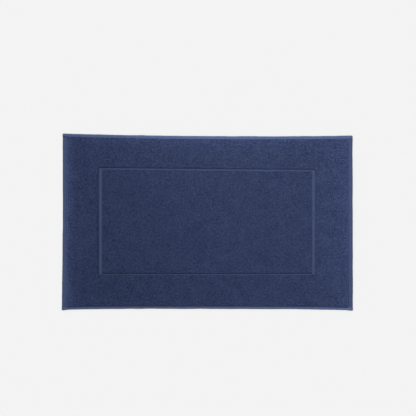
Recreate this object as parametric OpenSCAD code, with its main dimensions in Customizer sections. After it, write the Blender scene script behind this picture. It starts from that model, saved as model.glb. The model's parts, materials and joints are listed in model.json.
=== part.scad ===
// Terry bath mat with a flat-woven frame and turned hems.
// It lies on its underside: the origin is on the floor under its middle, +X is its length,
// +Y is its width and +Z is up. All sizes are in millimetres.

/* [Mat] */
// Length of the finished mat, fold to fold
mat_l = 1000; // [600:10:1500]
// Width of the finished mat, fold to fold
mat_w = 600; // [400:10:1000]
// Thickness of the ground cloth that the loops are woven into
cloth_t = 1.2; // [0.6:0.1:2]

/* [Pile] */
// Height of the loops on the upper side
pile_top_h = 3.4; // [1.5:0.1:6]
// Height of the loops on the underside
pile_under_h = 2.8; // [1.5:0.1:6]
// How far the loops at the edge of a pile area lean back from top to foot
pile_lean = 1.0; // [0.2:0.1:2]

/* [Frame] */
// From an end of the mat to the frame's outer side
frame_inset_x = 125; // [40:1:200]
// From a long side of the mat to the frame's outer side
frame_inset_y = 113; // [40:1:150]
// Width of the pile-free bands that run across the mat
band_x_w = 14; // [6:1:30]
// Width of the pile-free bands that run along the mat
band_y_w = 8; // [4:1:30]
// How far the rib weave of the bands stands proud of the ground cloth
rib_h = 0.4; // [0.2:0.1:1]
// Bare ground left on each side of a band's ribs
rib_margin = 1.0; // [0.5:0.1:1.5]

/* [Hems] */
// Width of the turned hems on the two ends
end_hem_w = 17; // [10:1:30]
// Width of the turned hems on the two long sides
side_hem_w = 10; // [8:1:30]
// Slit left between the plies of a hem
ply_gap = 0.1; // [0.05:0.05:0.2]
// Bare ground from a hem's inner fold to the first loops
hem_clear = 1.0; // [0.5:0.1:2]
// How much the bulk of a folded corner rises over the cloth
corner_rise = 1.4; // [0.5:0.1:3]
// Gap between the end of an end hem and the folded corner
corner_gap = 0.1; // [0.05:0.05:0.5]

/* [Stitching] */
// Thickness of the sewing thread
thread_d = 0.5; // [0.3:0.1:0.8]
// Length of one stitch, hole to hole
stitch = 4.0; // [3:0.5:6]
// Length of the dip between two stitches
stitch_dip = 0.8; // [0.5:0.1:1.2]
// Depth that the seams pull into the cloth
seam_depth = 0.3; // [0.2:0.05:0.5]
// From a hem's inner fold to its seam
seam_margin = 2.0; // [1.5:0.5:4]
// Space on each side of a thread in its seam groove
thread_gap = 0.05; // [0.02:0.01:0.2]
// Stitches in a corner's back-tack
tack_stitches = 3; // [2:1:4]
// Rows of thread in a back-tack
tack_rows = 2; // [1:1:3]
// Distance between the rows of a back-tack
tack_pitch = 1.0; // [0.8:0.1:1.5]

/* [Care label] */
// How far the label stands out from the hem
label_l = 30; // [15:1:60]
// Width of the label along the hem
label_w = 22; // [12:1:40]
// Thickness of the folded label
label_t = 0.3; // [0.2:0.05:0.6]
// From the mat's middle to the label's middle, along the end hem
label_y = -150; // [-160:1:160]
// Space round the label in the pile that it presses flat
label_gap = 0.5; // [0.2:0.1:2]

/* [Hidden] */
$fn = 64;

over = 1;                                   // how far a cutting shape passes a face
thread_proud = thread_d - seam_depth;       // part of a thread that stands out of its groove
ply = cloth_t + ply_gap;                    // one ply of a hem and the slit beside it
hem_drop = 2 * ply + thread_proud;          // from the cloth's lower face to a bobbin thread's
cloth_z0 = max(pile_under_h, hem_drop);     // the mat rests on its pile or on its hem seams
cloth_z1 = cloth_z0 + cloth_t;              // upper face of the ground cloth
hem_z0 = cloth_z0 - 2 * ply;                // lower face of the hems
fold_r = (cloth_z1 - hem_z0) / 2;           // outer radius of a hem's outer fold
fold_z = (cloth_z1 + hem_z0) / 2;           // height of that fold's centre
corner_z1 = cloth_z1 + corner_rise;         // top of a folded corner
corner_r = (corner_z1 - hem_z0) / 2 - 0.01; // radius of a folded corner's outer edges

pile_l = mat_l - 2 * (end_hem_w + hem_clear);
pile_w = mat_w - 2 * (side_hem_w + hem_clear);
frame_l = mat_l - 2 * frame_inset_x;        // frame, outer side to outer side
frame_w = mat_w - 2 * frame_inset_y;
panel_l = frame_l - 2 * band_x_w;           // panel of pile inside the frame
panel_w = frame_w - 2 * band_y_w;

end_hem_l = mat_w - 2 * (side_hem_w + corner_gap);
side_run_l = mat_l - 2 * end_hem_w;         // a long side between its folded corners
end_seam = end_hem_w - seam_margin;         // from the edge of the mat to a seam
side_seam = side_hem_w - seam_margin;
groove_w = thread_d + 2 * thread_gap;
end_stitches = floor((end_hem_l - stitch_dip) / stitch);
side_stitches = floor((side_run_l - stitch_dip) / stitch);
tack_l = tack_stitches * stitch;

loops = "#37436a";                          // dyed loops
flat_weave = "#47547d";                     // the same yarn woven flat
thread = "#3d4a74";
ribbon = "#d9d9d6";

// A block l by w by h whose four sides lean in by lean_in towards the top. A negative lean_in
// makes it wider there.
module leaning_block(l, w, h, lean_in) {
    intersection() {
        rotate([90, 0, 0]) linear_extrude(w + 2 * abs(lean_in), center = true)
            polygon([[-l / 2, 0], [l / 2, 0], [l / 2 - lean_in, h], [lean_in - l / 2, h]]);
        rotate([90, 0, 90]) linear_extrude(l + 2 * abs(lean_in), center = true)
            polygon([[-w / 2, 0], [w / 2, 0], [w / 2 - lean_in, h], [lean_in - w / 2, h]]);
    }
}

// The pile outside the frame, foot at z = 0
module border_pile(h) {
    difference() {
        leaning_block(pile_l, pile_w, h, pile_lean);
        translate([0, 0, -over])
            leaning_block(frame_l, frame_w, over + 0.01, 0);
        leaning_block(frame_l, frame_w, h + 0.01, -pile_lean);
    }
}

module centre_pile(h) {
    leaning_block(panel_l, panel_w, h, pile_lean);
}

// Copies of a seam's or hem's right or rear version on both sides of the mat
module on_end(side) { mirror([side < 0 ? 1 : 0, 0, 0]) children(); }
module on_long_side(side) { mirror([0, side < 0 ? 1 : 0, 0]) children(); }

// Ribbed bands of the frame, a ring of height h with its foot at z = 0
module frame_ribs(h) {
    linear_extrude(h) difference() {
        square([frame_l - 2 * rib_margin, frame_w - 2 * rib_margin], center = true);
        square([panel_l + 2 * rib_margin, panel_w + 2 * rib_margin], center = true);
    }
}

// Grooves that the needle threads pull into the cloth
module needle_grooves() {
    for (side = [-1, 1]) {
        translate([side * (mat_l / 2 - end_seam), 0, cloth_z1])
            cube([groove_w, end_hem_l + 2 * over, 2 * seam_depth], center = true);
        translate([0, side * (mat_w / 2 - side_seam), cloth_z1])
            cube([side_run_l + 2 * over, groove_w, 2 * seam_depth], center = true);
    }
}

module ground_cloth() {
    color(flat_weave) {
        difference() {
            translate([0, 0, cloth_z0]) linear_extrude(cloth_t) difference() {
                square([mat_l - 2 * fold_r, mat_w - 2 * fold_r], center = true);
                for (sx = [-1, 1], sy = [-1, 1])
                    translate([sx * (mat_l - end_hem_w) / 2, sy * (mat_w - side_hem_w) / 2])
                        square([end_hem_w + 2 * corner_gap, side_hem_w + 2 * corner_gap], center = true);
            }
            needle_grooves();
        }
        translate([0, 0, cloth_z1]) frame_ribs(rib_h);
        translate([0, 0, cloth_z0 - rib_h]) frame_ribs(rib_h);
    }
}

module border_pile_top() {
    color(loops) translate([0, 0, cloth_z1]) border_pile(pile_top_h);
}

module centre_pile_top() {
    color(loops) translate([0, 0, cloth_z1]) centre_pile(pile_top_h);
}

module border_pile_under() {
    color(loops) difference() {
        translate([0, 0, cloth_z0]) mirror([0, 0, 1]) border_pile(pile_under_h);
        label_room();
    }
}

module centre_pile_under() {
    color(loops) translate([0, 0, cloth_z0]) mirror([0, 0, 1]) centre_pile(pile_under_h);
}

// Section of a double-turned hem of width w. The mat's edge is at x = 0, its middle towards +x.
// The cloth's upper ply ends at x = fold_r, where this begins: round the outer fold, along the
// bottom, round the inner fold and back out between the two plies.
module hem_section(w) {
    inner_r = fold_r - cloth_t;
    turn_r = cloth_t + ply_gap / 2;
    middle_z = cloth_z0 - ply_gap - cloth_t;
    difference() {
        translate([fold_r, fold_z]) circle(fold_r);
        translate([fold_r, fold_z]) circle(inner_r);
        translate([fold_r, hem_z0 - over]) square([2 * fold_r, 2 * fold_r + 2 * over]);
    }
    translate([fold_r, hem_z0]) square([w - fold_r - turn_r, cloth_t]);
    translate([fold_r, middle_z]) square([w - fold_r - turn_r, cloth_t]);
    difference() {
        translate([w - turn_r, middle_z - ply_gap / 2]) circle(turn_r);
        translate([w - turn_r, middle_z - ply_gap / 2]) circle(ply_gap / 2);
        translate([w - 3 * turn_r, hem_z0 - over]) square([2 * turn_r, 2 * fold_r + 2 * over]);
    }
}

// Groove that a bobbin thread pulls into a hem's lower ply, l long, from the mat's edge at x = 0
module bobbin_groove(seam, l) {
    translate([seam, 0, hem_z0]) cube([groove_w, l, 2 * seam_depth], center = true);
}

// Hem of width w and length l along Y, with the mat's edge at x = 0 and the mat towards +x
module hem_run(w, seam, l) {
    difference() {
        rotate([90, 0, 0]) linear_extrude(l, center = true) hem_section(w);
        bobbin_groove(seam, l + 2 * over);
    }
}

// Bulk of cloth where a long side's hem is folded over an end hem, for the corner at +x, +y
module folded_corner() {
    h = corner_z1 - hem_z0;
    difference() {
        intersection() {
            translate([mat_l / 2 - end_hem_w, mat_w / 2 - side_hem_w, hem_z0]) cube([end_hem_w, side_hem_w, h]);
            translate([0, 0, hem_z0 + h / 2]) rotate([90, 0, 90]) linear_extrude(mat_l)
                rounded_outside(mat_w / 2, side_hem_w + over, h);
            translate([0, mat_w, hem_z0 + h / 2]) rotate([90, 0, 0]) linear_extrude(mat_w)
                rounded_outside(mat_l / 2, end_hem_w + over, h);
        }
        tack_grooves();
    }
}

// A bar h high that ends at x = edge, with that end's corners rounded
module rounded_outside(edge, w, h) {
    translate([edge - w, -h / 2]) square([w - corner_r, h]);
    translate([edge - corner_r, -h / 2 + corner_r]) circle(corner_r);
    translate([edge - corner_r, h / 2 - corner_r]) circle(corner_r);
    translate([edge - corner_r - 0.01, -h / 2 + corner_r]) square([corner_r + 0.01, h - 2 * corner_r]);
}

module end_hem(side) {
    color(flat_weave) on_end(-side)
        translate([-mat_l / 2, 0, 0]) hem_run(end_hem_w, end_seam, end_hem_l);
}

module side_hem(side) {
    color(flat_weave) on_long_side(side) {
        translate([0, mat_w / 2, 0]) rotate([0, 0, -90]) hem_run(side_hem_w, side_seam, side_run_l);
        for (end = [-1, 1]) on_end(end) folded_corner();
    }
}

module hem_left() { end_hem(-1); }
module hem_right() { end_hem(1); }
module hem_front() { side_hem(-1); }
module hem_rear() { side_hem(1); }

// One thread of a lockstitch along +x, with its n stitches centred on x = 0 and its foot at z = 0.
// It lies on the cloth for a stitch and dips to the next needle hole.
module stitch_row(n) {
    half_dip = stitch_dip / 2;
    dip_t = thread_d / 2;
    start = -n * stitch / 2;
    upper = [for (i = [0 : n - 1], p = [[0, dip_t], [half_dip, thread_d], [stitch - half_dip, thread_d]])
                 [start + i * stitch + p[0], p[1]]];
    rotate([90, 0, 0]) linear_extrude(thread_d, center = true)
        polygon(concat(upper, [[-start, dip_t], [-start, 0], [start, 0]]));
}

module needle_row(n) {
    translate([0, 0, cloth_z1 - seam_depth]) stitch_row(n);
}

module bobbin_row(n) {
    translate([0, 0, hem_z0 + seam_depth]) mirror([0, 0, 1]) stitch_row(n);
}

module on_end_seam(side) {
    translate([side * (mat_l / 2 - end_seam), 0, 0]) rotate([0, 0, 90]) children();
}

module on_side_seam(side) {
    translate([0, side * (mat_w / 2 - side_seam), 0]) children();
}

module needle_thread_left() { color(thread) on_end_seam(-1) needle_row(end_stitches); }
module needle_thread_right() { color(thread) on_end_seam(1) needle_row(end_stitches); }
module needle_thread_front() { color(thread) on_side_seam(-1) needle_row(side_stitches); }
module needle_thread_rear() { color(thread) on_side_seam(1) needle_row(side_stitches); }
module bobbin_thread_left() { color(thread) on_end_seam(-1) bobbin_row(end_stitches); }
module bobbin_thread_right() { color(thread) on_end_seam(1) bobbin_row(end_stitches); }
module bobbin_thread_front() { color(thread) on_side_seam(-1) bobbin_row(side_stitches); }
module bobbin_thread_rear() { color(thread) on_side_seam(1) bobbin_row(side_stitches); }

// Places of a corner's rows of reverse stitches, for the corner at +x, +y
module at_tack_rows() {
    for (row = [0 : tack_rows - 1])
        translate([(mat_l - end_hem_w) / 2, mat_w / 2 - side_seam + row * tack_pitch, 0]) children();
}

module tack_grooves() {
    at_tack_rows() for (z = [hem_z0, corner_z1])
        translate([0, 0, z]) cube([tack_l + 2 * thread_gap, groove_w, 2 * seam_depth], center = true);
}

module corner_back_tacks() {
    color(thread) for (side = [-1, 1], end = [-1, 1])
        on_long_side(side) on_end(end) at_tack_rows() {
            translate([0, 0, corner_z1 - seam_depth]) stitch_row(tack_stitches);
            bobbin_row(tack_stitches);
        }
}

// The label comes down from under the right-hand hem's inner fold and lies flat on the pile
module label_shape(grow, up) {
    root_x = mat_l / 2 - end_hem_w - hem_clear / 2;
    translate([root_x - label_l - grow, label_y - label_w / 2 - grow, -up])
        cube([label_l + grow + label_t / 2, label_w + 2 * grow, label_t + up + grow]);
    translate([root_x - label_t / 2 - grow, label_y - label_w / 2 - grow, 0])
        cube([label_t + grow, label_w + 2 * grow, cloth_z0]);
}

module label_room() { label_shape(label_gap, over); }

module care_label() { color(ribbon) label_shape(0, 0); }

ground_cloth();
border_pile_top();
centre_pile_top();
border_pile_under();
centre_pile_under();
hem_left();
hem_right();
hem_front();
hem_rear();
needle_thread_left();
needle_thread_right();
needle_thread_front();
needle_thread_rear();
bobbin_thread_left();
bobbin_thread_right();
bobbin_thread_front();
bobbin_thread_rear();
corner_back_tacks();
care_label();
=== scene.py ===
"""Terry bath mat with a flat-woven frame and turned hems, built round its packed CAD frame."""

import itertools
import json
import math

import bmesh
import bpy
import numpy as np
from bpy.props import FloatProperty, FloatVectorProperty, IntProperty, PointerProperty
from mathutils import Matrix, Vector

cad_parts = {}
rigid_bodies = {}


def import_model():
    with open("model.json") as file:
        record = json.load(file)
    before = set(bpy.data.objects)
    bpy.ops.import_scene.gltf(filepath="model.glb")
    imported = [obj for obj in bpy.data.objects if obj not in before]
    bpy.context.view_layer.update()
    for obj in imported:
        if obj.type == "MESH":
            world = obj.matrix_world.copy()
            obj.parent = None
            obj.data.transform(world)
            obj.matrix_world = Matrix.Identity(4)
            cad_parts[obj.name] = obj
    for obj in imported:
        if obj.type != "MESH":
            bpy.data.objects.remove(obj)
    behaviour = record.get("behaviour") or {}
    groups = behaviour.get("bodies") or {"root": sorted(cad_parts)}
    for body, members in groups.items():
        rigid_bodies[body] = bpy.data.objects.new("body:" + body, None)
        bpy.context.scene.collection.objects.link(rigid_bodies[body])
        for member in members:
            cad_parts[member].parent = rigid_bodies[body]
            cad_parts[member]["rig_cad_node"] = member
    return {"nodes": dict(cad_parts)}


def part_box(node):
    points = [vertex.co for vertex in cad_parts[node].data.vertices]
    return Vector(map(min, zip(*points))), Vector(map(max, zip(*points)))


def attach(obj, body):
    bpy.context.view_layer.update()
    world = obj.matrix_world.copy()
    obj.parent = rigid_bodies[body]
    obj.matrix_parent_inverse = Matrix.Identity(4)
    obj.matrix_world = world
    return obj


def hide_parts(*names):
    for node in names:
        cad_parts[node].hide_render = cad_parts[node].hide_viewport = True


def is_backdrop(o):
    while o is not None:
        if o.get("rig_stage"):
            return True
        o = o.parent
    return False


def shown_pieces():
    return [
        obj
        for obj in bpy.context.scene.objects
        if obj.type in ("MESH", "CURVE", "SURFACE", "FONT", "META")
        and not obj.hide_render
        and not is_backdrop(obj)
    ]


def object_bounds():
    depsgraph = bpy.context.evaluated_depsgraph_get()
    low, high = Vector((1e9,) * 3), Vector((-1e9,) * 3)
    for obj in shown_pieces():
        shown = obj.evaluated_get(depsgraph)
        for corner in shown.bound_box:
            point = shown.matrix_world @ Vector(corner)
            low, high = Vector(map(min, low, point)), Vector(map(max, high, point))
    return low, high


bl_info = {
    "name": "Terry bath mat",
    "version": (1, 0, 0),
    "blender": (4, 5, 0),
    "location": "View3D > Sidebar > Bath mat",
    "description": "Builds a looped bath mat with flat-woven bands, stitched hems and a care label",
    "category": "Add Mesh",
}

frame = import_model()
CAD_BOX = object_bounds()

MM = 0.001
BAKE_MAP = "OFBake"
WEAVE_MAP = "weave"
SEAM_IN = 2 * MM        # from a hem's inner fold to its seam
HEM_JOIN = 1.2 * MM     # how far past that fold a hem's top ply meets the ground cloth
LOOP_SIDES = 3          # sides of a loop's yarn
THREAD_SIDES = 5        # sides of the sewing thread
THREAD_STEPS = 4        # straight lengths in a stitch
ARCH_TOP = 0.75         # a Bezier arch rises to this share of the height of its handles
HANDLE_SPREAD = 0.9     # its handles are this share as far out as its ends
END_HEM_SEED, SIDE_HEM_SEED, CORNER_SEED, SEAM_SEED, TACK_SEED = 40, 60, 80, 200, 300


def linear(hex_colour):
    """An sRGB hex colour as the linear RGBA that shaders take."""
    parts = [int(hex_colour[i:i + 2], 16) / 255 for i in (1, 3, 5)]
    return [c / 12.92 if c <= 0.04045 else ((c + 0.055) / 1.055) ** 2.4 for c in parts] + [1.0]


def node_box(name):
    """Lowest and highest corner of a CAD node, as arrays."""
    low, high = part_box(name)
    return np.array(low), np.array(high)


class CadSizes:
    """Sizes of the packed mat that the pieces are fitted to: the half sizes of its areas along X
    and Y, the widths of its hems, and heights over the floor."""

    def __init__(self):
        self.top = CAD_BOX[1][2]
        self.half = np.array(CAD_BOX[1][:2])
        pile_low, pile_high = node_box("border_pile_top")
        under_low, under_high = node_box("border_pile_under")
        self.pile = pile_high[:2]
        self.panel = node_box("centre_pile_top")[1][:2]
        self.frame = self.inner_edge("border_pile_top")
        self.cloth_top = pile_low[2]
        self.cloth_low = under_high[2]
        self.pile_top = pile_high[2]
        self.pile_low = under_low[2]
        self.rib_top = node_box("ground_cloth")[1][2]
        self.hem_low = node_box("hem_left")[0][2]
        self.hem_w = np.array([self.hem_size("hem_left", 0), self.hem_size("hem_front", 1)])
        self.corner_top = node_box("hem_front")[1][2]
        self.end_hem_half = node_box("hem_left")[1][1]
        self.label_low, self.label_high = node_box("care_label")

    @staticmethod
    def inner_edge(name):
        """Half of the opening in a ring-shaped node, along X and Y."""
        points = np.array([v.co for v in frame["nodes"][name].data.vertices])
        return np.abs(points[:, :2]).min(axis=0)

    @staticmethod
    def hem_size(name, axis):
        """Size of a hem along an axis."""
        low, high = node_box(name)
        return high[axis] - low[axis]


SIZES = CadSizes()


# Settings ------------------------------------------------------------------------------------

def length_setting(name, millimetres, description):
    """A length in the panel."""
    return FloatProperty(
        name=name, default=millimetres * MM, unit="LENGTH", description=description)


def angle_setting(name, degrees, description):
    """An angle in the panel."""
    return FloatProperty(
        name=name, default=math.radians(degrees), subtype="ANGLE", description=description)


def share_setting(name, share, description):
    """A share of something else in the panel, usually from 0 to 1."""
    return FloatProperty(name=name, default=share, subtype="FACTOR", description=description)


def colour_setting(name, hex_colour, description):
    """A colour in the panel."""
    return FloatVectorProperty(
        name=name, default=linear(hex_colour), size=4, subtype="COLOR", description=description)


class PileSettings(bpy.types.PropertyGroup):
    """Loops and their packed feet"""

    top_pitch_x: length_setting(
        "Top pitch across", 3.7, "Distance between the upper loops across the mat")
    top_pitch_y: length_setting(
        "Top pitch along", 3.6, "Distance between the upper loops along the mat")
    under_pitch_x: length_setting(
        "Under pitch across", 4.9, "Distance between the lower loops across the mat")
    under_pitch_y: length_setting(
        "Under pitch along", 4.7, "Distance between the lower loops along the mat")
    top_yarn: length_setting("Top yarn", 2.2, "Thickness of the yarn in the upper loops")
    under_yarn: length_setting("Under yarn", 2.4, "Thickness of the yarn in the lower loops")
    top_span: length_setting("Top span", 3.8, "Distance between the feet of an upper loop")
    under_span: length_setting("Under span", 4.9, "Distance between the feet of a lower loop")
    lean: angle_setting("Lean", 16, "Most that one loop leans from its neighbours")
    nap: angle_setting("Nap", 16, "Most that a patch of loops leans together after washing")
    nap_patch: length_setting("Nap patch", 38, "Width of a patch of loops that lean together")
    # Painted shadow: how much darker loops that bulge over a band or hem are painted
    crease_painted_shade: FloatProperty(
        name="Crease shade", default=0.5,
        description="Darkening of loops that bulge over a band or hem, for each millimetre")
    shortest: share_setting(
        "Shortest loop", 0.8, "Height of the shortest loops as a share of the pile")
    feet: share_setting("Feet height", 0.38, "Height of the packed feet as a share of the pile")
    feet_grid: length_setting("Feet grid", 8, "Spacing of the mesh under the loops")
    deep_colour: colour_setting("Deep colour", "#1C294E", "Dyed cotton of the darkest loops")
    pale_colour: colour_setting("Pale colour", "#445279", "Dyed cotton of the lightest loops")
    # Painted shade: how much darker the feet of the loops are painted than their crowns
    foot_painted_shade: share_setting(
        "Foot shade", 0.75, "How bright the feet of the loops are against their tops")
    # Painted light: how much paler the loops beside the hems are painted
    painted_edge_light_share: share_setting(
        "Painted edge light", 0.5, "How much paler the loops beside the hems are painted, as painted light")
    seed: IntProperty(
        name="Seed", default=11,
        description="Seed of the loops' small differences")


class WeaveSettings(bpy.types.PropertyGroup):
    """Flat-woven cloth: ground, frame bands and hems"""

    thread_pitch: length_setting(
        "Thread pitch", 1.0, "Distance between the threads of the flat weave")
    cord_pitch: length_setting(
        "Cord pitch", 1.7, "Distance between the raised cords of the frame bands")
    pucker: length_setting("Pucker", 0.16, "How far the cloth swells between two stitches")
    waver: length_setting("Waver", 0.35, "How far a hem's fold strays from a straight line")
    colour: colour_setting("Weave colour", "#354164", "The same dyed cotton woven flat")
    # Painted shade: the colour painted into the hollows between threads
    shade_colour: colour_setting("Weave shade", "#293556", "Cotton in the hollows between threads")
    # Painted light: the colour that whole hems and bands are painted towards
    painted_light_colour: colour_setting(
        "Painted light colour", "#4F5E80", "Flat weave painted paler where a piece catches more light")


class SewingSettings(bpy.types.PropertyGroup):
    """Lockstitch seams and back-tacks"""

    stitch: length_setting("Stitch", 4.0, "Length of one stitch, hole to hole")
    thread: length_setting("Thread", 0.5, "Thickness of the sewing thread")
    wander: angle_setting("Wander", 2.5, "Most that one stitch turns from the line of the seam")
    colour: colour_setting("Thread colour", "#46547F", "Spun polyester dyed to match")


class LieSettings(bpy.types.PropertyGroup):
    """How the washed mat lies, as shifts away from a true rectangle"""

    left_in: length_setting("Left edge", -0.2, "Shift of the middle of the left edge towards +X")
    left_slant: length_setting("Left slant", 1.5, "Extra shift of the left edge at its rear end")
    left_bow: length_setting("Left bow", -1.9, "Extra shift of the left edge at both ends")
    right_in: length_setting("Right edge", 0.75, "Shift of the middle of the right edge towards +X")
    right_slant: length_setting(
        "Right slant", -0.6, "Extra shift of the right edge at its rear end")
    left_band: length_setting("Left band", -3.0, "Shift of the frame's left band towards +X")
    right_band: length_setting("Right band", -3.6, "Shift of the frame's right band towards +X")
    front_in: length_setting("Front edge", 1.6, "Shift of the middle of the front edge towards +Y")
    front_slant: length_setting(
        "Front slant", -0.95, "Extra shift of the front edge at its right end")
    front_bow: length_setting("Front bow", -4.15, "Extra shift of the front edge near both ends")
    front_drop: length_setting(
        "Front corners", -2.2,
        "Shift of the two front corners towards +Y, over their last few centimetres")
    rear_in: length_setting("Rear edge", -2.0, "Shift of the middle of the rear edge towards +Y")
    rear_slant: length_setting("Rear slant", -3.7, "Extra shift of the rear edge at its right end")
    rear_bow: length_setting("Rear bow", 5.1, "Extra shift of the rear edge at both ends")
    front_band: length_setting("Front band", 3.2, "Shift of the frame's front band towards +Y")
    front_band_narrow: length_setting(
        "Front band narrower", 2.0,
        "How far the front band is drawn in under the loops in front of it")
    rear_band: length_setting(
        "Rear band", 0.3, "Shift of the middle of the frame's rear band towards +Y")
    rear_band_slant: length_setting(
        "Rear band slant", -5.0, "Extra shift of the rear band towards the mat's right edge")
    splay: share_setting(
        "Splay", 0.5,
        "How far the tops of the loops beside a hem lean out over it, against their height")
    lift: length_setting("Lift", 0.9, "Most that an edge of the mat lifts off the floor")


class StudioSettings(bpy.types.PropertyGroup):
    """Floor, lights and camera"""

    floor_colour: colour_setting("Floor colour", "#F1F1F1", "Matt studio floor")
    sky: FloatProperty(
        name="Sky", default=0.26,
        description="Strength of the light from all round")
    sweep: FloatProperty(
        name="Sweep", default=2.40,
        description="Strength of the light on the floor")
    key: FloatProperty(
        name="Key", default=3.6,
        description="Strength of the light from the rear left")
    fill: FloatProperty(
        name="Fill", default=15.0, unit="POWER",
        description="Power of the soft light at the right")
    rear: FloatProperty(
        name="Rear", default=2.3, unit="POWER",
        description="Power of the small soft light behind the rear hem")
    lens: FloatProperty(
        name="Lens", default=85.0,
        description="Focal length of the camera in millimetres")
    frame_width: length_setting("Frame width", 1435.5, "Width of floor that the camera takes in")
    frame_x: length_setting("Frame X", 1.2, "Camera's place along the mat")
    frame_y: length_setting("Frame Y", 49.7, "Camera's place across the mat")


GROUPS = {
    "mat_pile": PileSettings,
    "mat_weave": WeaveSettings,
    "mat_sewing": SewingSettings,
    "mat_lie": LieSettings,
    "mat_studio": StudioSettings,
}


# Lie of the cloth ----------------------------------------------------------------------------

def blend_across(at, stations, rows):
    """Values given at a few stations, blended straight from each to the next."""
    weights = [np.interp(at, stations, row) for row in np.eye(len(stations))]
    return sum(weight * row for weight, row in zip(weights, rows))


def lie(points):
    """Points of the squared-up mat, moved to where the washed mat lies."""
    how = bpy.context.scene.mat_lie
    x, y = points[:, 0], points[:, 1]
    s, t = x / SIZES.half[0], y / SIZES.half[1]
    band = (SIZES.frame + SIZES.panel) / 2
    frame_y, panel_y = SIZES.frame[1], SIZES.panel[1]
    front, rear = how.front_band, how.rear_band + how.rear_band_slant * s
    rows_y = [-SIZES.half[1], -frame_y, -panel_y, panel_y, frame_y, SIZES.half[1]]
    shift_x = blend_across(x, [-SIZES.half[0], -band[0], band[0], SIZES.half[0]], [
        how.left_in + how.left_slant * t + how.left_bow * t ** 2,
        how.left_band,
        how.right_band,
        how.right_in + how.right_slant * t])
    shift_y = blend_across(y, rows_y, [
        how.front_in + how.front_slant * s + how.front_bow * s ** 4 + how.front_drop * s ** 24,
        front + how.front_band_narrow,
        front,
        rear,
        rear,
        how.rear_in + how.rear_slant * s + how.rear_bow * s ** 2])
    # Only the rim of the mat lifts, in waves 110 to 330 mm long
    rim_width = 50 * MM
    rim = np.minimum(SIZES.half[0] - np.abs(x), SIZES.half[1] - np.abs(y))
    near_rim = np.clip(1 - rim / rim_width, 0, 1) ** 2
    wave = 0.5 + 0.25 * np.sin(19 * x + 3) * np.cos(23 * y + 1) + 0.25 * np.sin(41 * x - 37 * y)
    leaning = how.splay * np.maximum(points[:, 2] - SIZES.cloth_top, 0)
    shift_x += leaning * beside_hem(x, 0)
    shift_y += leaning * beside_hem(y, 1)
    return points + np.stack([shift_x, shift_y, how.lift * near_rim * wave], axis=1)


def beside_hem(along, axis):
    """1 or -1 beside the inner edges of the two hems across an axis, and 0 from a little way in."""
    reach = 20 * MM
    gone = SIZES.half[axis] - SIZES.hem_w[axis] - np.abs(along)
    return np.where(gone > 0, np.clip(1 - gone / reach, 0, 1), 0) * np.sign(along)


# Meshes --------------------------------------------------------------------------------------

def new_object(name, points, faces, uv=None):
    """A mesh object whose points are already in the mat's frame. uv holds a place per point."""
    mesh = bpy.data.meshes.new(name)
    mesh.from_pydata(np.asarray(points).tolist(), [], [list(face) for face in faces])
    if uv is not None:
        layer = mesh.uv_layers.new(name=WEAVE_MAP)
        layer.data.foreach_set("uv", np.asarray(uv, dtype=np.float32)[corners_of(mesh)].ravel())
    mesh.polygons.foreach_set("use_smooth", [True] * len(mesh.polygons))
    mesh.update()
    made = bpy.data.objects.new(name, mesh)
    bpy.context.scene.collection.objects.link(made)
    return made


def place(piece, material, nodes):
    """Lays a squared-up piece as the mat lies and hands it to the frame."""
    mesh = piece.data
    laid = lie(points_of(piece))
    laid[:, 2] = np.maximum(laid[:, 2], 0)
    mesh.vertices.foreach_set("co", laid.astype(np.float32).ravel())
    mesh.materials.clear()
    mesh.materials.append(material)
    mesh.update()
    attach(piece, "root")
    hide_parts(*nodes)


def corners_of(mesh):
    """The number of the point at each corner of a mesh's faces."""
    corners = np.empty(len(mesh.loops), dtype=np.int32)
    mesh.loops.foreach_get("vertex_index", corners)
    return corners


def points_of(piece):
    """The points of a piece as rows of X, Y and Z."""
    points = np.empty(len(piece.data.vertices) * 3, dtype=np.float32)
    piece.data.vertices.foreach_get("co", points)
    return points.reshape(-1, 3).astype(float)


def set_value(piece, name, value):
    """Gives the points of a piece an attribute. value is one number, or one for each point."""
    mesh = piece.data
    layer = mesh.attributes.new(name, "FLOAT", "POINT")
    values = np.broadcast_to(value, len(mesh.vertices)).astype(np.float32)
    layer.data.foreach_set("value", values)


def painted_edge_light_at(points):
    """Painted light on the upper pile beside the hems: most beside the left hem, less beside the
    right and rear.
    """
    def fading(distance, reach, most):
        """Painted light that is most at a hem's inner edge and gone at its reach."""
        return most * np.clip(1 - distance / reach, 0, 1)

    inner_x, inner_y = SIZES.half - SIZES.hem_w
    x, y = points[:, 0], points[:, 1]
    left = (fading(inner_x + x, reach=24 * MM, most=1.0)
            + fading(inner_x + x, reach=110 * MM, most=0.4))
    right = fading(inner_x - x, reach=110 * MM, most=0.35)
    rear = fading(inner_y - y, reach=45 * MM, most=0.4)
    return np.maximum(np.maximum(left, right), rear) * (points[:, 2] > SIZES.cloth_top)


def ring_faces(rings, count):
    """Quads between successive rings of count points, and a cap on each end."""
    faces = []
    for i in range(rings - 1):
        for j in range(count):
            k = (j + 1) % count
            faces.append((i * count + j, i * count + k, (i + 1) * count + k, (i + 1) * count + j))
    faces.append(tuple(range(count - 1, -1, -1)))
    faces.append(tuple((rings - 1) * count + j for j in range(count)))
    return faces


def face_outwards(piece):
    """Recalculates the normals of a closed mesh."""
    shell = bmesh.new()
    shell.from_mesh(piece.data)
    bmesh.ops.recalc_face_normals(shell, faces=shell.faces)
    shell.to_mesh(piece.data)
    shell.free()


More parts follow.
